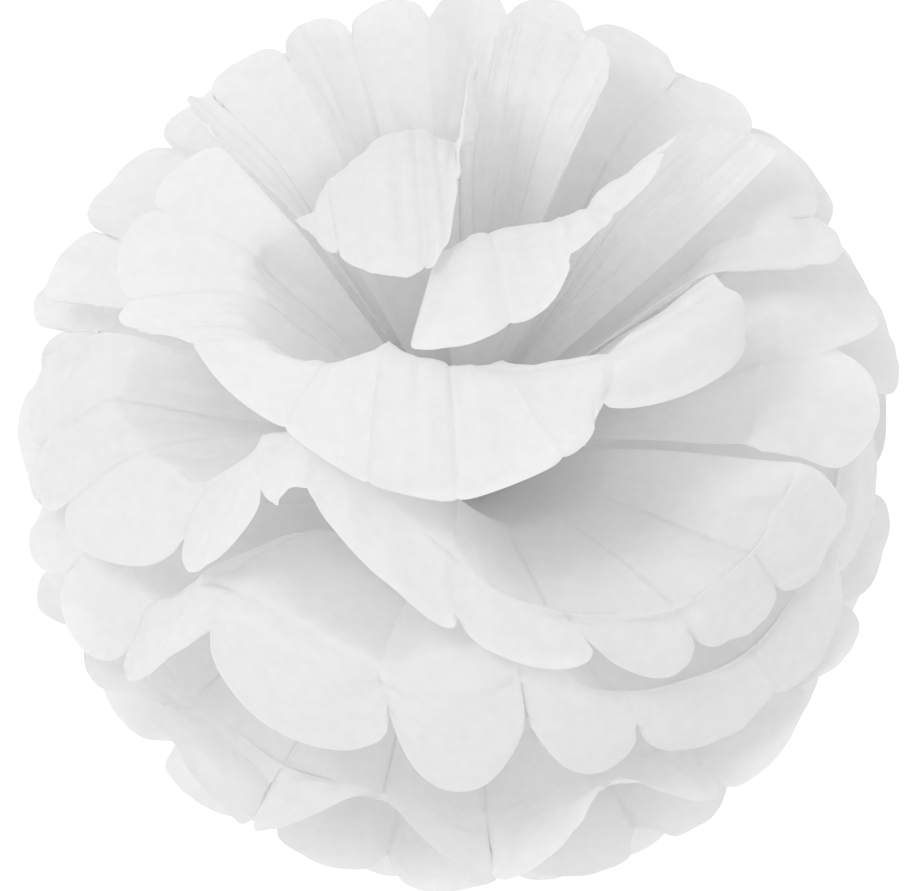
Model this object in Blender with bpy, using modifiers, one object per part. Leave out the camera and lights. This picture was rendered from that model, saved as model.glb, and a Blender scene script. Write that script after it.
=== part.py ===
"""Tissue paper pom pom: eight pleated sheets opened into a ball round a wire tie.

Each sheet is one strip of pleats with its ends cut round. The strip is pinched at
its middle by the wire, and both ends are fanned out, so that it makes a ruffled
ring of round lobes. Azimuth 0 faces -Y and grows towards +X. Tilt is the angle
from +Z. The origin is the middle of the tie.
"""

import math

import bmesh
import bpy
import numpy as np
from mathutils import Vector

# The ball and its paper, in metres. BALL_RADIUS is how far an end that points straight
# out reaches; with its curled rims the ball is 250 mm across.
BALL_RADIUS = 0.129
PLEAT_WIDTH = 0.040
PAPER_THICKNESS = 0.0003

# The lobes cut at each pleat's end, and the whole paper left past their corners
LOBE_DEPTH = 0.013
EDGE_BAND = 0.004

# The pinched necks, stacked in the tie
NECK_HALF_WIDTH = 0.004
NECK_LENGTH = 0.0025
NECK_CLEARANCE = 0.0004
NECK_END = 0.016
STAND_UP_INNER = 0.024
STAND_UP_STEP = 0.018

# The wire tie
WIRE_DIAMETER = 0.0008
WIRE_CLEARANCE = 0.0004
TAIL_LENGTH = 0.008
TAIL_TURNS = 2

# How the paper bends: shares of its length where it turns over and its lobes
# begin, how roundly it turns over, shares of a pleat over which its creases are
# rounded, and how far round a sheet's two fans are spread from the tie, in degrees
TURN_AT = 0.60
LOBE_AT = 0.88
ROUNDING = 0.3
CREST_SOFTNESS = 0.30
RIM_SOFTNESS = 0.18
CREASE_SAMPLES = 9
NECK_FAN = 86

# Mesh density: columns in each pleat at the rim, and row places from tie to rim
COLUMNS = 3
ROWS = (0.0, 0.05, 0.13, 0.25, 0.40, 0.60, 0.74, 0.88, 1.0)
COARSE_ROWS = 5

# Each row is one fold: where its paper bends over (azimuth, tilt, share of the ball's
# radius in per cent), then where its end at the rim points (azimuth, tilt). The front
# and back fans of a sheet both run from its left edge to its right. Each lobe has how
# many degrees it leans outward past its two folds, and the share of its cut depth.
INNER_FRONT = (
    (-150, 5, 80, -33, 11), (155, 8, 82, 40, 9), (121, 16, 84, 96, 14),
    (124, 21, 86, 114, 20), (128, 27, 84, 126, 30), (127, 29, 80, 128, 35),
    (124, 30, 76, 127, 40), (120, 31, 72, 125, 44), (117, 34, 70, 124, 47),
    (115, 37, 68, 122, 49), (112, 40, 66, 120, 50),
)
INNER_FRONT_LOBES = (
    (1, 0.2), (1, 0.1), (0, 0.2), (1, 0.6), (0, 0.6), (0, 0.6), (0, 0.6), (0, 0.6),
    (0, 0.5), (0, 0.3),
)
INNER_BACK = (
    (-124, 25, 80, -114, 22), (-134, 27, 82, -106, 16), (-168, 29, 84, -94, 4),
    (-181, 22, 84, -178, 14), (-184, 27, 84, -183, 30), (-187, 31, 84, -187, 37),
    (-191, 34, 84, -191, 43), (-196, 36, 84, -196, 46), (-202, 36, 82, -202, 45),
    (-208, 34, 80, -208, 40), (-213, 30, 75, -213, 33),
)
INNER_BACK_LOBES = (
    (0, 0.7), (1, 0.3), (0, 0.3), (1, 0.7), (0, 0.7), (0, 0.7), (0, 0.7), (0, 0.7),
    (0, 0.7), (0, 0.7),
)
SECOND_FRONT = (
    (-122, 30, 80, -126, 37), (-108, 33, 78, -112, 44), (-96, 33, 78, -93, 42),
    (-84, 31, 80, -86, 41), (-70, 28, 90, -78, 33), (-58, 20, 90, -50, 27),
    (-44, 13, 90, -24, 27), (-5, 12, 90, -1, 27), (19, 15, 88, 27, 25),
    (60, 22, 91, 49, 23), (95, 37, 93, 90, 38),
)
SECOND_FRONT_LOBES = (
    (1, 0.6), (2, 0.6), (1, 0.6), (0, 0.5), (0, 0.2), (0, 0.1), (0, 0.1), (0, 0.1),
    (0, 0.2), (2, 0.5),
)
SECOND_BACK = (
    (-128, 38, 70, -131, 48), (-138, 46, 70, -139, 58), (-150, 46, 70, -151, 53),
    (-162, 50, 70, -163, 60), (-174, 46, 70, -175, 53), (-186, 50, 70, -187, 58),
    (-198, 50, 70, -199, 58), (-213, 53, 70, -214, 62), (-229, 49, 70, -230, 54),
    (-244, 52, 72, -245, 60), (-256, 44, 75, -257, 52),
)
SECOND_BACK_LOBES = (
    (2, 1), (2, 1), (2, 1), (2, 1), (2, 1), (2, 1), (2, 1), (2, 1), (2, 1), (2, 1),
)
THIRD_FRONT = (
    (-98, 60, 80, -98, 70), (-86, 64, 80, -85, 76), (-73, 56, 80, -72, 68),
    (-58, 46, 84, -54, 51), (-58, 35, 80, -46, 36), (-42, 27, 84, -38, 31),
    (-4, 38, 86, -1, 43), (19, 47, 86, 21, 50), (37, 55, 87, 38, 59), (54, 55, 90, 55, 66),
    (71, 54, 90, 74, 72),
)
THIRD_FRONT_LOBES = (
    (2, 1), (2, 1), (2, 0.6), (2, 1.3), (0, 0.3), (0, 0.4), (0, 0.9), (2, 1.1), (0, 1),
    (0, 0.8),
)
THIRD_BACK = (
    (-102, 62, 75, -102, 67), (-112, 56, 75, -112, 60), (-132, 64, 75, -132, 69),
    (-150, 57, 75, -150, 61), (-169, 63, 75, -169, 68), (-188, 58, 75, -188, 62),
    (-207, 64, 75, -207, 69), (-226, 57, 75, -226, 61), (-246, 62, 75, -246, 67),
    (-268, 56, 75, -268, 60), (-291, 51, 80, -290, 55),
)
THIRD_BACK_LOBES = (
    (3, 1), (3, 1), (3, 1), (3, 1), (3, 1), (3, 1), (3, 1), (3, 1), (3, 1), (3, 1),
)
OUTER_FRONT = (
    (-97, 76, 80, -97, 79), (-82, 78, 80, -81, 83), (-68, 73, 80, -67, 76),
    (-55, 74, 80, -54, 81), (-43, 54, 86, -42, 57), (-13, 56, 87, -11, 61),
    (10, 51, 84, 10, 57), (25, 65, 84, 26, 71), (48, 77, 84, 48, 83), (70, 80, 84, 70, 87),
    (92, 80, 84, 92, 84),
)
OUTER_FRONT_LOBES = (
    (0, 1), (0, 1), (0, 1), (1, 1), (5, 0.8), (8, 1.2), (6, 1.2), (3, 1), (0, 1), (0, 1),
)
OUTER_BACK = (
    (-101, 73, 80, -101, 75), (-118, 80, 80, -118, 84), (-134, 86, 80, -134, 92),
    (-151, 72, 80, -151, 74), (-168, 89, 80, -168, 97), (-184, 72, 80, -184, 74),
    (-201, 88, 80, -201, 95), (-217, 74, 80, -217, 76), (-234, 80, 80, -234, 85),
    (-250, 74, 80, -250, 77), (-267, 75, 80, -267, 79),
)
OUTER_BACK_LOBES = (
    (0, 1), (0, 1), (0, 1), (0, 1), (0, 1), (0, 1), (0, 1), (0, 1), (0, 1), (0, 1),
)
FOLDED_SHEETS = (
    (INNER_FRONT, INNER_FRONT_LOBES, INNER_BACK, INNER_BACK_LOBES),
    (SECOND_FRONT, SECOND_FRONT_LOBES, SECOND_BACK, SECOND_BACK_LOBES),
    (THIRD_FRONT, THIRD_FRONT_LOBES, THIRD_BACK, THIRD_BACK_LOBES),
    (OUTER_FRONT, OUTER_FRONT_LOBES, OUTER_BACK, OUTER_BACK_LOBES),
)
SHEETS = 2 * len(FOLDED_SHEETS)
PLEATS = len(INNER_FRONT) - 1
NECK_STEP = PAPER_THICKNESS + NECK_CLEARANCE


def smooth(value, start, end):
    """Rise from 0 at start to 1 at end with level ends."""
    share = np.clip((value - start) / (end - start), 0, 1)
    return share * share * (3 - 2 * share)


def directions(azimuths, tilts):
    """Unit vectors for azimuths and tilts in degrees."""
    a, t = np.radians(azimuths), np.radians(tilts)
    return np.stack((np.sin(t) * np.sin(a), -np.sin(t) * np.cos(a), np.cos(t)), axis=-1)


def unit(vectors):
    return vectors / np.linalg.norm(vectors, axis=-1, keepdims=True)


def along_folds(values, places, softness):
    """Values between folds on flat panels, with each crease rounded by softness."""
    spots = np.clip(places[:, None] + np.linspace(-1, 1, CREASE_SAMPLES) * softness, 0, PLEATS)
    first = np.minimum(spots.astype(int), PLEATS - 1)
    share = (spots - first)[..., None]
    return (values[first] * (1 - share) + values[first + 1] * share).mean(axis=1)


def fan(folds, lobes, facing, level, places, alongs):
    """Points of one fan, as rows from the tie and columns across its pleats."""
    folds, lobes = np.array(folds, float), np.array(lobes, float)
    corners = directions(folds[:, 3], folds[:, 4])
    widths = np.linalg.norm(corners[1:] - corners[:-1], axis=1) * BALL_RADIUS
    cuts = np.minimum(widths / PLEAT_WIDTH, 1) * lobes[:, 1]
    cuts = (np.append(cuts[0], cuts) + np.append(cuts, cuts[-1])) / 2
    depth = LOBE_DEPTH * along_folds(cuts[:, None], places, 0)[:, 0]

    crest_reach = folds[:, 2:3] / 100 * BALL_RADIUS
    crest = along_folds(
        directions(folds[:, 0], folds[:, 1]) * crest_reach, places, CREST_SOFTNESS)
    rim = unit(along_folds(corners, places, RIM_SOFTNESS))
    across = 2 * (places % 1) - 1
    pleat = np.minimum(places.astype(int), PLEATS - 1)
    flat_out = unit(rim * [1, 1, 0])
    outward = flat_out * rim[:, 2:3] - np.outer(np.hypot(rim[:, 0], rim[:, 1]), [0, 0, 1])
    lean = np.radians(lobes[pleat, 0]) * (1 - across * across)
    rim = unit(rim + outward * np.tan(lean)[:, None])
    rim = rim * (BALL_RADIUS - EDGE_BAND - depth)[:, None]
    lobe = EDGE_BAND + depth * np.sqrt(np.maximum(1 - across * across, 0))

    crest_length = np.linalg.norm(crest, axis=1)
    heading = crest / crest_length[:, None]
    bend = crest + heading * ROUNDING * np.linalg.norm(rim - crest, axis=1)[:, None]
    onward = unit(rim - bend)
    rows = []
    for along in alongs:
        straight = heading * (crest_length * min(along / TURN_AT, 1))[:, None]
        past = np.clip((along - TURN_AT) / (LOBE_AT - TURN_AT), 0, 1)
        curve = crest * (1 - past) ** 2 + 2 * bend * past * (1 - past) + rim * past ** 2
        beyond = np.clip((along - LOBE_AT) / (1 - LOBE_AT), 0, 1)
        rows.append(curve + onward * (lobe * beyond)[:, None] if past > 0 else straight)
    paper = np.array(rows)
    paper /= np.maximum(np.linalg.norm(paper, axis=-1, keepdims=True) / BALL_RADIUS, 1)

    radius = np.linalg.norm(paper, axis=-1)
    spread = 2 * places / PLEATS - 1
    turn = np.radians(spread * NECK_FAN)
    flat = np.stack((np.sin(turn), facing * np.cos(turn), np.zeros_like(turn)), axis=-1)
    risen = STAND_UP_INNER + STAND_UP_STEP * level
    stand_up = smooth(radius, NECK_LENGTH, risen)[..., None]
    heading = unit(flat + (paper / np.maximum(radius, NECK_LENGTH)[..., None] - flat) * stand_up)
    neck = np.stack(np.broadcast_arrays(
        spread * NECK_HALF_WIDTH, facing * radius, 0.0), axis=-1)
    opened = smooth(radius, NECK_LENGTH, NECK_END)[..., None]
    return neck + (heading * radius[..., None] - neck) * opened


def paper_sheet(name, level, turned, material, collection):
    """One sheet: a flat grid, thinned near its neck, then folded and fanned."""
    rows, columns = len(ROWS) - 1, PLEATS * COLUMNS
    mesh_builder = bmesh.new()
    bmesh.ops.create_grid(
        mesh_builder, x_segments=columns, y_segments=2 * rows, size=1)
    for vertex in mesh_builder.verts:
        column = round((vertex.co.x + 1) / 2 * columns)
        vertex.co = (column, round(vertex.co.y * rows), 0)

    spare_edges = []
    for edge in mesh_builder.edges:
        start, end = (vertex.co for vertex in edge.verts)
        outer_row = max(abs(start.y), abs(end.y))
        if start.x == end.x and outer_row <= COARSE_ROWS and round(start.x) % COLUMNS:
            spare_edges.append(edge)
    bmesh.ops.dissolve_edges(mesh_builder, edges=spare_edges, use_verts=True)
    bmesh.ops.triangulate(mesh_builder, faces=mesh_builder.faces)

    front, front_lobes, back, back_lobes = FOLDED_SHEETS[level]
    places = np.arange(columns + 1) / COLUMNS
    fans = {
        -1: fan(front, front_lobes, -1, level, places, ROWS),
        1: fan(back, back_lobes, 1, level, places, ROWS),
    }
    height = NECK_STEP * ((SHEETS - 1) / 2 - level)
    for vertex in mesh_builder.verts:
        column, row = round(vertex.co.x), round(vertex.co.y)
        vertex.co = fans[-1 if row < 0 else 1][abs(row), column]
        vertex.co.z += height
        if turned:
            vertex.co.y *= -1
            vertex.co.z *= -1

    mesh = bpy.data.meshes.new(name)
    mesh_builder.to_mesh(mesh)
    mesh_builder.free()
    sheet = bpy.data.objects.new(name, mesh)
    mesh.materials.append(material)
    collection.objects.link(sheet)
    solidify = sheet.modifiers.new("paper", "SOLIDIFY")
    solidify.thickness = PAPER_THICKNESS
    solidify.offset = 0
    return sheet


def tie_route():
    """Points of the tie: one tail down, round the necks, the other tail up."""
    half_width = NECK_HALF_WIDTH + WIRE_CLEARANCE + WIRE_DIAMETER / 2
    stack = ((SHEETS - 1) * NECK_STEP + PAPER_THICKNESS) / 2
    half_height = stack + WIRE_CLEARANCE + WIRE_DIAMETER / 2
    twist = (WIRE_DIAMETER + WIRE_CLEARANCE) / 2
    corner = WIRE_DIAMETER
    tail_foot = half_height + 3 * WIRE_DIAMETER
    steps = 8 * TAIL_TURNS

    def tail(side):
        points = []
        for step in range(steps + 1):
            angle = 2 * math.pi * TAIL_TURNS * step / steps
            height = tail_foot + TAIL_LENGTH * step / steps
            points.append(Vector((
                side * twist * math.cos(angle), side * twist * math.sin(angle), height)))
        return points

    loop = [
        Vector((-half_width + corner, 0, half_height)),
        Vector((-half_width, 0, half_height - corner)),
        Vector((-half_width, 0, corner - half_height)),
        Vector((corner - half_width, 0, -half_height)),
        Vector((half_width - corner, 0, -half_height)),
        Vector((half_width, 0, corner - half_height)),
        Vector((half_width, 0, half_height - corner)),
        Vector((half_width - corner, 0, half_height)),
    ]
    return list(reversed(tail(-1))) + loop + tail(1)


def wire_tie(material, collection):
    """The tie as one bent wire."""
    points = tie_route()
    curve = bpy.data.curves.new("wire_tie", "CURVE")
    curve.dimensions = "3D"
    curve.bevel_depth = WIRE_DIAMETER / 2
    curve.bevel_resolution = 1
    curve.use_fill_caps = True
    spline = curve.splines.new("POLY")
    spline.points.add(len(points) - 1)
    for point, place in zip(spline.points, points):
        point.co = (*place, 1)
    curve.materials.append(material)
    tie = bpy.data.objects.new("wire_tie", curve)
    collection.objects.link(tie)
    return tie


def finish(name, colour, roughness, metallic):
    """A plain Principled material."""
    material = bpy.data.materials.new(name)
    material.use_nodes = True
    shader = material.node_tree.nodes["Principled BSDF"]
    shader.inputs["Base Color"].default_value = (*colour, 1)
    shader.inputs["Roughness"].default_value = roughness
    shader.inputs["Metallic"].default_value = metallic
    return material


def build():
    for item in list(bpy.data.objects):
        bpy.data.objects.remove(item)
    collection = bpy.data.collections.new("tissue_pom_pom")
    bpy.context.scene.collection.children.link(collection)
    tissue = finish("white tissue", (0.87, 0.87, 0.87), 0.85, 0.0)
    steel = finish("bright steel wire", (0.60, 0.60, 0.60), 0.35, 1.0)

    for number in range(SHEETS):
        turned = number >= SHEETS / 2
        level = number if not turned else SHEETS - 1 - number
        paper_sheet(f"sheet_{number + 1}", level, turned, tissue, collection)
    wire_tie(steel, collection)


build()
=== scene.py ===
"""Looks of a tissue paper pom pom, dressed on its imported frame.

Azimuth 0 faces -Y and grows towards +X. Tilt is the angle from +Z. The ball's
middle, where its wire tie is, is the origin. Lengths are in metres, and those
whose names end in MM are in millimetres.
"""

import math

import bpy
import numpy as np
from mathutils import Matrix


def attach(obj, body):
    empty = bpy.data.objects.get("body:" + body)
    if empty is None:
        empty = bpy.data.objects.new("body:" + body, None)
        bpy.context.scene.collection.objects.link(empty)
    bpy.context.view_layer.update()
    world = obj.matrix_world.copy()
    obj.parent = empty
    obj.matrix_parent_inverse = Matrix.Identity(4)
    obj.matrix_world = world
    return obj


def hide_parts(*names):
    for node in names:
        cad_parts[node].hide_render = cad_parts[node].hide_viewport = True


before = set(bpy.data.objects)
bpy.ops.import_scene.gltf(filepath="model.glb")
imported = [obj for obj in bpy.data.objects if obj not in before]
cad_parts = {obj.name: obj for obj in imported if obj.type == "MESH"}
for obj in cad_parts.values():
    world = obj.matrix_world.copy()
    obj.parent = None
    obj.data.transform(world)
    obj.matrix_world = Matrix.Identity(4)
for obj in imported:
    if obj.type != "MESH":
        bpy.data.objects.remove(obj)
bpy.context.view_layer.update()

# The innermost sheet, sheet_1, and the same sheet turned over, sheet_8.
# Each sheet is one strip of white tissue: 10 pleats of 40 mm, folded together with
# the others, pinched at the middle, cut round at both ends and fanned out by hand.
SHEETS = 8
PLEATS = 10
PLEAT_WIDTH = 0.040
PAPER_REACH = 0.135  # from the tie to the tip of a lobe, with the paper flat
BALL_RADIUS = 0.129
LOBE_DEPTH = 0.013
EDGE_BAND = 0.004  # the least paper left past where the round cut starts
TURN_AT = 0.60  # how far along the paper, as a share, it starts to bend over
LOBE_AT = 0.88  # and where the round cut starts
CREST_SOFTNESS = 0.30  # how wide a fold is rounded, in pleats
RIM_SOFTNESS = 0.18
CREASE_SAMPLES = 9
NECK_HALF_WIDTH = 0.004
NECK_LENGTH = 0.0025
NECK_END = 0.016
NECK_FAN = 86  # degrees that the paper spreads each way as it leaves the tie
NECK_STEP = 0.0007  # from one sheet to the next, in the tie
STAND_UP_INNER = 0.024  # how far out the innermost sheet stands up from the tie
STAND_UP_STEP = 0.018
COLUMNS = 28  # for each pleat
ROWS = 72  # from the tie to the rim

# What the pulling leaves in the paper, each within its part of the way from the tie
# to the rim: the pleats' zigzag, the sharp crease of each fold, small creases along
# each pleat, and crumples as (how many, height, reach) in mm.
ZIGZAG_STARTS = (0.12, 0.4)
ZIGZAG_FADES = (0.45, 0.95)
FOLD_CREASE_MM = 0.8
FOLD_CREASE_WIDTH = 0.035  # in pleats, as are the small creases' widths
FOLD_CREASE_STARTS = (0.2, 0.5)
SMALL_CREASES = 6  # for each pleat
SMALL_CREASE_MM = 0.9
SMALL_CREASE_WIDTHS = (0.06, 0.26)
SMALL_CREASE_STARTS = (0.2, 0.7)
SMALL_CREASE_GROWS = 0.2
CRUMPLES_MM = ((26, 5.0, 34), (100, 2.0, 14), (260, 0.8, 7))
CRUMPLE_STARTS = (0.25, 0.6)
CRUMPLE_TOP = 0.1  # square mm: the smaller, the sharper a crumple's ridge
TIGHT_SHARE = 0.6  # of a tight bend's radius, beyond which nothing stands out
LEAST_LIFT_MM = 0.1

# A fold's row says where its paper bends over (azimuth, tilt, share of the radius in
# per cent), then where its end at the rim points (azimuth, tilt). A lobe's row says
# how many degrees its middle leans out past its two folds, and its share of the cut
# depth. The zigzag is how far the folds stay in and out, halfway and at the rim.
INNER_FRONT = (
    (-150, 5, 80, -33, 11), (155, 8, 82, 40, 9), (121, 16, 84, 96, 14),
    (124, 21, 86, 114, 20), (128, 27, 84, 126, 30), (127, 29, 80, 128, 35),
    (124, 30, 76, 127, 40), (120, 31, 72, 125, 44), (117, 34, 70, 124, 47),
    (115, 37, 68, 122, 49), (112, 40, 66, 120, 50),
)
INNER_FRONT_LOBES = (
    (1, 0.2), (1, 0.1), (0, 0.2), (1, 0.6), (0, 0.6), (0, 0.6), (0, 0.6), (0, 0.6),
    (0, 0.5), (0, 0.3),
)
INNER_BACK = (
    (-124, 25, 80, -114, 22), (-134, 27, 82, -106, 16), (-168, 29, 84, -94, 4),
    (-181, 22, 84, -178, 14), (-184, 27, 84, -183, 30), (-187, 31, 84, -187, 37),
    (-191, 34, 84, -191, 43), (-196, 36, 84, -196, 46), (-202, 36, 82, -202, 45),
    (-208, 34, 80, -208, 40), (-213, 30, 75, -213, 33),
)
INNER_BACK_LOBES = (
    (0, 0.7), (1, 0.3), (0, 0.3), (1, 0.7), (0, 0.7), (0, 0.7), (0, 0.7), (0, 0.7),
    (0, 0.7), (0, 0.7),
)
INNER_ROUNDING = 0.35
INNER_ZIGZAG_MM = (2.6, 0.4)


def directions(azimuths, tilts):
    """Unit vectors for azimuths and tilts in degrees."""
    a, t = np.radians(azimuths), np.radians(tilts)
    return np.stack((np.sin(t) * np.sin(a), -np.sin(t) * np.cos(a), np.cos(t)), axis=-1)


def unit(vectors):
    return vectors / np.linalg.norm(vectors, axis=-1, keepdims=True)


def smooth(value, start, end):
    """Rise from 0 at start to 1 at end with level ends."""
    share = np.clip((value - start) / (end - start), 0, 1)
    return share * share * (3 - 2 * share)


def along_folds(values, places, softness):
    """Values between folds on flat panels, with each crease rounded by softness."""
    steps = np.linspace(-1, 1, CREASE_SAMPLES) * softness
    spots = np.clip(places[:, None] + steps, 0, PLEATS)
    first = np.minimum(spots.astype(int), PLEATS - 1)
    share = (spots - first)[..., None]
    return (values[first] * (1 - share) + values[first + 1] * share).mean(axis=1)


def fan(folds, lobes, rounding, facing, level, places, alongs):
    """One fan as rows from the tie and columns across, and how wide open it is."""
    folds, lobes = np.array(folds, float), np.array(lobes, float)
    corners = directions(folds[:, 3], folds[:, 4])
    widths = np.linalg.norm(corners[1:] - corners[:-1], axis=1) * BALL_RADIUS
    opened = np.minimum(widths / PLEAT_WIDTH, 1)
    cuts = np.stack((opened, opened * lobes[:, 1]), axis=1)
    cuts = (np.concatenate((cuts[:1], cuts)) + np.concatenate((cuts, cuts[-1:]))) / 2
    opened, notch = along_folds(cuts, places, 0).T
    depth = notch * LOBE_DEPTH

    crest_reach = folds[:, 2:3] / 100 * BALL_RADIUS
    crest = directions(folds[:, 0], folds[:, 1]) * crest_reach
    crest = along_folds(crest, places, CREST_SOFTNESS)
    rim = unit(along_folds(corners, places, RIM_SOFTNESS))
    across = 2 * (places % 1) - 1
    pleat = np.minimum(places.astype(int), PLEATS - 1)
    flat_out = unit(rim * [1, 1, 0])
    outward = flat_out * rim[:, 2:3] - np.outer(np.hypot(rim[:, 0], rim[:, 1]), [0, 0, 1])
    lean = np.radians(lobes[pleat, 0]) * (1 - across * across)
    rim = unit(rim + outward * np.tan(lean)[:, None])
    rim = rim * (BALL_RADIUS - EDGE_BAND - depth)[:, None]
    lobe = EDGE_BAND + depth * np.sqrt(np.maximum(1 - across * across, 0))

    crest_length = np.linalg.norm(crest, axis=1)
    heading = crest / crest_length[:, None]
    bend = crest + heading * rounding * np.linalg.norm(rim - crest, axis=1)[:, None]
    onward = unit(rim - bend)

    rows = []
    for along in alongs:
        straight = heading * (crest_length * min(along / TURN_AT, 1))[:, None]
        past = np.clip((along - TURN_AT) / (LOBE_AT - TURN_AT), 0, 1)
        curve = crest * (1 - past) ** 2 + 2 * bend * past * (1 - past) + rim * past ** 2
        beyond = np.clip((along - LOBE_AT) / (1 - LOBE_AT), 0, 1)
        curve = curve + onward * (lobe * beyond)[:, None]
        rows.append(curve if past > 0 else straight)
    paper = np.array(rows)
    too_far = np.linalg.norm(paper, axis=-1, keepdims=True) / BALL_RADIUS
    paper /= np.maximum(too_far, 1)

    radius = np.linalg.norm(paper, axis=-1)
    spread = 2 * places / PLEATS - 1
    turn = np.radians(spread * NECK_FAN)
    flat = np.stack((np.sin(turn), facing * np.cos(turn), np.zeros_like(turn)), axis=-1)
    stand_up = smooth(radius, NECK_LENGTH, STAND_UP_INNER + STAND_UP_STEP * level)[..., None]
    risen = unit(flat + (unit(paper + 1e-9) - flat) * stand_up) * radius[..., None]
    neck = np.stack(np.broadcast_arrays(
        spread * NECK_HALF_WIDTH, facing * radius, 0.0), axis=-1)
    paper = neck + (risen - neck) * smooth(radius, NECK_LENGTH, NECK_END)[..., None]
    return paper, opened


def crumple(across_mm, along_mm, draw, crumples, height, reach):
    """Heights of soft random crumples: each is a short straight fold that fades out."""
    total = np.zeros_like(across_mm)
    width, length = PLEATS * PLEAT_WIDTH * 1000, PAPER_REACH * 1000
    for _ in range(crumples):
        x, y = draw.uniform(0, width), draw.uniform(CRUMPLE_STARTS[0] * length, length)
        turn = draw.uniform(0, math.pi)
        size = reach * draw.uniform(0.5, 1.5)
        side = (across_mm - x) * math.cos(turn) + (along_mm - y) * math.sin(turn)
        far = (across_mm - x) ** 2 + (along_mm - y) ** 2
        ridge = np.sqrt(side ** 2 + CRUMPLE_TOP)
        total += draw.choice((-1, 1)) * height * ridge / size * np.exp(-far / size ** 2)
    return total


def tissue_sheet(number, front, back, rounding, zigzag_mm, material):
    """One strip of tissue, folded and fanned out, for one CAD sheet."""
    turned = number > SHEETS / 2
    level = SHEETS - number if turned else number - 1
    draw = np.random.default_rng(number)
    places = np.linspace(0, PLEATS, PLEATS * COLUMNS + 1)
    alongs = np.linspace(0, 1, ROWS + 1)
    across_mm = np.tile(places * PLEAT_WIDTH * 1000, (ROWS + 1, 1))
    along_mm = np.tile(alongs[:, None] * PAPER_REACH * 1000, (1, len(places)))
    halves = []
    for facing, (folds, lobes) in ((-1, front), (1, back)):
        paper, opened = fan(folds, lobes, rounding, facing, level, places, alongs)
        over = np.gradient(paper, axis=0)
        sideways = np.gradient(paper, axis=1)
        normal = np.cross(sideways, over) * -facing
        normal /= np.maximum(np.linalg.norm(normal, axis=-1, keepdims=True), 1e-12)
        side = 1 - 2 * np.abs(places % 2 - 1)
        fade = smooth(alongs, *ZIGZAG_FADES)
        zigzag = zigzag_mm[0] + (zigzag_mm[1] - zigzag_mm[0]) * fade
        lift = (zigzag * smooth(alongs, *ZIGZAG_STARTS))[:, None] * side
        from_fold = (places - np.round(places)) / FOLD_CREASE_WIDTH
        crease = FOLD_CREASE_MM * np.exp(-from_fold ** 2)
        lift += smooth(alongs, *FOLD_CREASE_STARTS)[:, None] * crease * side
        for _ in range(SMALL_CREASES * PLEATS):
            away = np.abs(places - draw.uniform(0, PLEATS))
            away /= draw.uniform(*SMALL_CREASE_WIDTHS)
            start = draw.uniform(*SMALL_CREASE_STARTS)
            height = draw.uniform(-1, 1) * SMALL_CREASE_MM
            line = height * smooth(alongs, start, start + SMALL_CREASE_GROWS)
            lift += line[:, None] * np.maximum(1 - away, 0)
        free = smooth(alongs, *CRUMPLE_STARTS)[:, None]
        for crumples, height, reach in CRUMPLES_MM:
            lift += free * crumple(across_mm, along_mm, draw, crumples, height, reach)
        turning = np.linalg.norm(np.gradient(normal, axis=0), axis=-1)
        bend_mm = np.linalg.norm(over, axis=-1) * 1000 / np.maximum(turning, 1e-6)
        most = TIGHT_SHARE * bend_mm + LEAST_LIFT_MM
        lift /= np.sqrt(1 + (lift / most) ** 2)
        halves.append(paper + normal * (lift * opened / 1000)[..., None])
    strip = np.concatenate((halves[0][:0:-1], halves[1]))
    strip[..., 2] += NECK_STEP * ((SHEETS - 1) / 2 - level)
    if turned:
        strip[..., 1:] *= -1
    wide = len(places)
    first = np.arange((len(strip) - 1) * wide).reshape(-1, wide)[:, :-1].ravel()
    faces = np.stack((first, first + 1, first + wide + 1, first + wide), axis=1)
    mesh = bpy.data.meshes.new(f"tissue_sheet_{number}")
    mesh.from_pydata(strip.reshape(-1, 3), [], faces.tolist())
    mesh.shade_smooth()
    mesh.materials.append(material)
    sheet = bpy.data.objects.new(f"tissue_sheet_{number}", mesh)
    bpy.context.scene.collection.objects.link(sheet)
    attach(sheet, "root")
    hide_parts(f"sheet_{number}")
    return sheet


def linear(hex_colour):
    """The linear colour of an sRGB hex value."""
    parts = [int(hex_colour[i:i + 2], 16) / 255 for i in (1, 3, 5)]
    return [p / 12.92 if p <= 0.04045 else ((p + 0.055) / 1.055) ** 2.4 for p in parts] + [1]


def add_node(material, kind, links=(), **settings):
    """A node with its settings, and links as (socket, from node, its output)."""
    node = material.node_tree.nodes.new(kind)
    for name, value in settings.items():
        if name in node.inputs:
            node.inputs[name].default_value = value
        else:
            setattr(node, name, value)
    for socket, source, output in links:
        material.node_tree.links.new(source.outputs[output], node.inputs[socket])
    return node


# White wrapping tissue, made as other paper is, from pressed wood fibres. It is matt
# and cloudy, and thin enough to glow where light is behind it. Single fibres, 0.03 mm
# thick, are too fine to show, so the bump is the clumps that they lie in.
CLOUD_MM = 4
FIBRE_CLUMP_MM = 1.6


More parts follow.
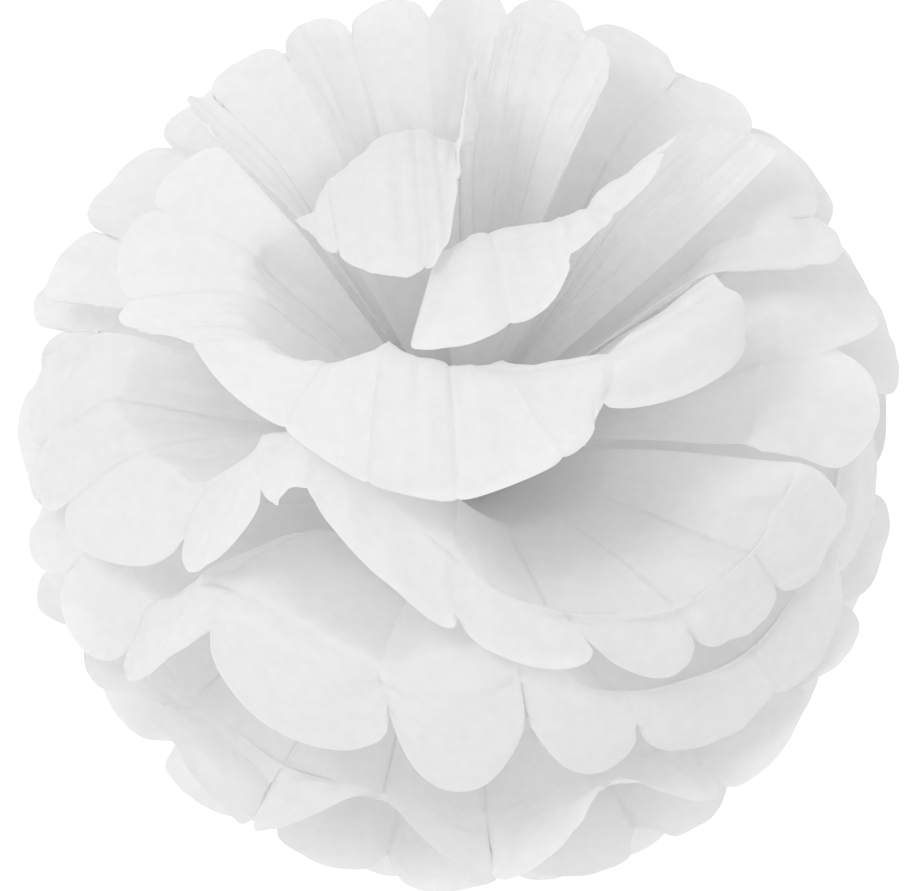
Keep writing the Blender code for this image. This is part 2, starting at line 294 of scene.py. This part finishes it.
def tissue_paper():
    material = bpy.data.materials.new("white tissue paper")
    material.use_nodes = True
    nodes = material.node_tree.nodes
    nodes.clear()
    place = add_node(material, "ShaderNodeTexCoord")
    cloud = add_node(
        material, "ShaderNodeTexNoise", [("Vector", place, "Object")],
        **{"Scale": 1000 / CLOUD_MM, "Detail": 4.0, "Roughness": 0.6})
    tint = add_node(material, "ShaderNodeValToRGB", [("Fac", cloud, "Fac")])
    tint.color_ramp.elements[0].position = 0.35
    tint.color_ramp.elements[0].color = linear("#f4f4f4")
    tint.color_ramp.elements[1].position = 0.65
    tint.color_ramp.elements[1].color = linear("#f7f7f7")
    fibres = add_node(
        material, "ShaderNodeTexNoise", [("Vector", place, "Object")],
        **{"Scale": 1000 / FIBRE_CLUMP_MM, "Detail": 3.0, "Roughness": 0.65})
    bump = add_node(
        material, "ShaderNodeBump", [("Height", fibres, "Fac")],
        **{"Strength": 0.18, "Distance": 0.0004})
    front = add_node(
        material, "ShaderNodeBsdfPrincipled",
        [("Base Color", tint, "Color"), ("Normal", bump, "Normal")],
        **{"Roughness": 0.8, "Specular IOR Level": 0.2})
    through = add_node(
        material, "ShaderNodeBsdfTranslucent",
        [("Color", tint, "Color"), ("Normal", bump, "Normal")])
    both = add_node(
        material, "ShaderNodeMixShader", [(1, front, "BSDF"), (2, through, "BSDF")],
        **{"Fac": 0.35})
    add_node(material, "ShaderNodeOutputMaterial", [("Surface", both, "Shader")])
    return material


tissue = tissue_paper()
for number in (1, 8):
    tissue_sheet(number, (INNER_FRONT, INNER_FRONT_LOBES),
                 (INNER_BACK, INNER_BACK_LOBES), INNER_ROUNDING, INNER_ZIGZAG_MM,
                 tissue)

# The second sheet in from each pole, sheet_2 and its turned twin sheet_7.
# The same tissue strip; on one side its end stands up as a wide wing, and beside
# the middle it was pulled up and curls over.
SECOND_FRONT = (
    (-122, 30, 80, -126, 37), (-108, 33, 78, -112, 44), (-96, 33, 78, -93, 42),
    (-84, 31, 80, -86, 41), (-70, 28, 90, -78, 33), (-58, 20, 90, -50, 27),
    (-44, 13, 90, -24, 27), (-5, 12, 90, -1, 27), (19, 15, 88, 27, 25),
    (60, 22, 91, 49, 23), (95, 37, 93, 90, 38),
)
SECOND_FRONT_LOBES = (
    (1, 0.6), (2, 0.6), (1, 0.6), (0, 0.5), (0, 0.2), (0, 0.1), (0, 0.1), (0, 0.1),
    (0, 0.2), (2, 0.5),
)
SECOND_BACK = (
    (-128, 38, 70, -131, 48), (-138, 46, 70, -139, 58), (-150, 46, 70, -151, 53),
    (-162, 50, 70, -163, 60), (-174, 46, 70, -175, 53), (-186, 50, 70, -187, 58),
    (-198, 50, 70, -199, 58), (-213, 53, 70, -214, 62), (-229, 49, 70, -230, 54),
    (-244, 52, 72, -245, 60), (-256, 44, 75, -257, 52),
)
SECOND_BACK_LOBES = (
    (2, 1), (2, 1), (2, 1), (2, 1), (2, 1), (2, 1), (2, 1), (2, 1), (2, 1), (2, 1),
)
SECOND_ROUNDING = 0.35
SECOND_ZIGZAG_MM = (2.6, 0.4)
for number in (2, 7):
    tissue_sheet(number, (SECOND_FRONT, SECOND_FRONT_LOBES),
                 (SECOND_BACK, SECOND_BACK_LOBES), SECOND_ROUNDING, SECOND_ZIGZAG_MM,
                 tissue)

# The third sheet, sheet_3, and its turned twin sheet_6.
# The same tissue strip; one pleat is tucked in deep, and the lobes beside it were
# pulled back like leaves.
THIRD_FRONT = (
    (-98, 60, 80, -98, 70), (-86, 64, 80, -85, 76), (-73, 56, 80, -72, 68),
    (-58, 46, 84, -54, 51), (-58, 35, 80, -46, 36), (-42, 27, 84, -38, 31),
    (-4, 38, 86, -1, 43), (19, 47, 86, 21, 50), (37, 55, 87, 38, 59), (54, 55, 90, 55, 66),
    (71, 54, 90, 74, 72),
)
THIRD_FRONT_LOBES = (
    (2, 1), (2, 1), (2, 0.6), (2, 1.3), (0, 0.3), (0, 0.4), (0, 0.9), (2, 1.1), (0, 1),
    (0, 0.8),
)
THIRD_BACK = (
    (-102, 62, 75, -102, 67), (-112, 56, 75, -112, 60), (-132, 64, 75, -132, 69),
    (-150, 57, 75, -150, 61), (-169, 63, 75, -169, 68), (-188, 58, 75, -188, 62),
    (-207, 64, 75, -207, 69), (-226, 57, 75, -226, 61), (-246, 62, 75, -246, 67),
    (-268, 56, 75, -268, 60), (-291, 51, 80, -290, 55),
)
THIRD_BACK_LOBES = (
    (3, 1), (3, 1), (3, 1), (3, 1), (3, 1), (3, 1), (3, 1), (3, 1), (3, 1), (3, 1),
)
THIRD_ROUNDING = 0.3
THIRD_ZIGZAG_MM = (2.6, 0.4)
for number in (3, 6):
    tissue_sheet(number, (THIRD_FRONT, THIRD_FRONT_LOBES),
                 (THIRD_BACK, THIRD_BACK_LOBES), THIRD_ROUNDING, THIRD_ZIGZAG_MM,
                 tissue)

# The outermost sheet of each half, sheet_4, and its turned twin sheet_5.
# The same tissue strip, the last of its half to be pulled up, opened almost flat round
# the ball's widest line.
OUTER_FRONT = (
    (-97, 76, 80, -97, 79), (-82, 78, 80, -81, 83), (-68, 73, 80, -67, 76),
    (-55, 74, 80, -54, 81), (-43, 54, 86, -42, 57), (-13, 56, 87, -11, 61),
    (10, 51, 84, 10, 57), (25, 65, 84, 26, 71), (48, 77, 84, 48, 83), (70, 80, 84, 70, 87),
    (92, 80, 84, 92, 84),
)
OUTER_FRONT_LOBES = (
    (0, 1), (0, 1), (0, 1), (1, 1), (5, 0.8), (8, 1.2), (6, 1.2), (3, 1), (0, 1), (0, 1),
)
OUTER_BACK = (
    (-101, 73, 80, -101, 75), (-118, 80, 80, -118, 84), (-134, 86, 80, -134, 92),
    (-151, 72, 80, -151, 74), (-168, 89, 80, -168, 97), (-184, 72, 80, -184, 74),
    (-201, 88, 80, -201, 95), (-217, 74, 80, -217, 76), (-234, 80, 80, -234, 85),
    (-250, 74, 80, -250, 77), (-267, 75, 80, -267, 79),
)
OUTER_BACK_LOBES = (
    (0, 1), (0, 1), (0, 1), (0, 1), (0, 1), (0, 1), (0, 1), (0, 1), (0, 1), (0, 1),
)
OUTER_ROUNDING = 0.3
OUTER_ZIGZAG_MM = (2.6, 0.9)
for number in (4, 5):
    tissue_sheet(number, (OUTER_FRONT, OUTER_FRONT_LOBES),
                 (OUTER_BACK, OUTER_BACK_LOBES), OUTER_ROUNDING, OUTER_ZIGZAG_MM,
                 tissue)


# The wire tie round the necks of the folded stack: one length of soft steel wire,
# drawn bright, bent round by hand, with its two ends twisted together and cut.
# Its bright skin blurs what it mirrors. The die's marks, 0.02 mm apart, are too fine to
# show, so its grain is drawn coarser.
WIRE_GRAIN_MM = 0.3


def tie_wire():
    material = bpy.data.materials.new("drawn steel wire")
    material.use_nodes = True
    shader = material.node_tree.nodes["Principled BSDF"]
    shader.inputs["Base Color"].default_value = linear("#c9c9c9")
    shader.inputs["Metallic"].default_value = 1.0
    shader.inputs["Roughness"].default_value = 0.35
    place = add_node(material, "ShaderNodeTexCoord")
    grain = add_node(
        material, "ShaderNodeTexNoise", [("Vector", place, "Object")],
        **{"Scale": 1000 / WIRE_GRAIN_MM, "Detail": 2.0})
    bump = add_node(
        material, "ShaderNodeBump", [("Height", grain, "Fac")],
        **{"Strength": 0.2, "Distance": 0.00005})
    material.node_tree.links.new(bump.outputs["Normal"], shader.inputs["Normal"])
    return material


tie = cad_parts["wire_tie"]
tie.data.materials.clear()
tie.data.materials.append(tie_wire())


# The studio: a plain pale floor well below the ball, which is held up by its tie,
# soft light from all round, and one soft lamp above and to the left that draws the
# small creases.
FLOOR_HEIGHT = -0.60
FLOOR_HALF = 6.0
floor_mesh = bpy.data.meshes.new("studio_floor")
floor_corners = [(-1, -1), (1, -1), (1, 1), (-1, 1)]
floor_mesh.from_pydata(
    [(x * FLOOR_HALF, y * FLOOR_HALF, FLOOR_HEIGHT) for x, y in floor_corners],
    [], [(0, 1, 2, 3)])
floor = bpy.data.objects.new("studio_floor", floor_mesh)
bpy.context.scene.collection.objects.link(floor)
floor_paint = bpy.data.materials.new("pale matt floor paint")
floor_paint.use_nodes = True
paint = floor_paint.node_tree.nodes["Principled BSDF"].inputs
paint["Base Color"].default_value = linear("#f8f8f8")
paint["Roughness"].default_value = 0.9
paint["Emission Color"].default_value = (1, 1, 1, 1)
paint["Emission Strength"].default_value = 0.3
floor_mesh.materials.append(floor_paint)

world = bpy.data.worlds.new("studio_light")
world.use_nodes = True
world.node_tree.nodes["Background"].inputs["Color"].default_value = (1, 1, 1, 1)
world.node_tree.nodes["Background"].inputs["Strength"].default_value = 0.85
bpy.context.scene.world = world

lamp_data = bpy.data.lights.new("soft_lamp", "AREA")
lamp_data.shape = "DISK"
lamp_data.size = 0.4
lamp_data.energy = 4.2
lamp = bpy.data.objects.new("soft_lamp", lamp_data)
lamp.location = (-0.5, -0.1, 1.4)
lamp.rotation_euler = (-lamp.location).to_track_quat("-Z", "Y").to_euler()
bpy.context.scene.collection.objects.link(lamp)

# The camera looks down steeply at the side where the second sheet curls over. Its
# lens makes the ball as many pixels in radius as it is in the photo.
CAMERA_ELEVATION = 68
CAMERA_DISTANCE = 1.2
RADIUS_IN_PICTURE = 446
BALL_ACROSS = 0.250
PICTURE_WIDTH = 920
camera_data = bpy.data.cameras.new("camera")
camera_data.sensor_width = 36
focal_pixels = RADIUS_IN_PICTURE / math.tan(math.asin(BALL_ACROSS / 2 / CAMERA_DISTANCE))
camera_data.lens = focal_pixels * camera_data.sensor_width / PICTURE_WIDTH
camera = bpy.data.objects.new("camera", camera_data)
elevation = math.radians(CAMERA_ELEVATION)
camera.location = (
    0, -CAMERA_DISTANCE * math.cos(elevation), CAMERA_DISTANCE * math.sin(elevation))
camera.rotation_euler = (-camera.location).to_track_quat("-Z", "Y").to_euler()
bpy.context.scene.collection.objects.link(camera)
bpy.context.scene.camera = camera
bpy.context.scene.view_settings.view_transform = "Standard"
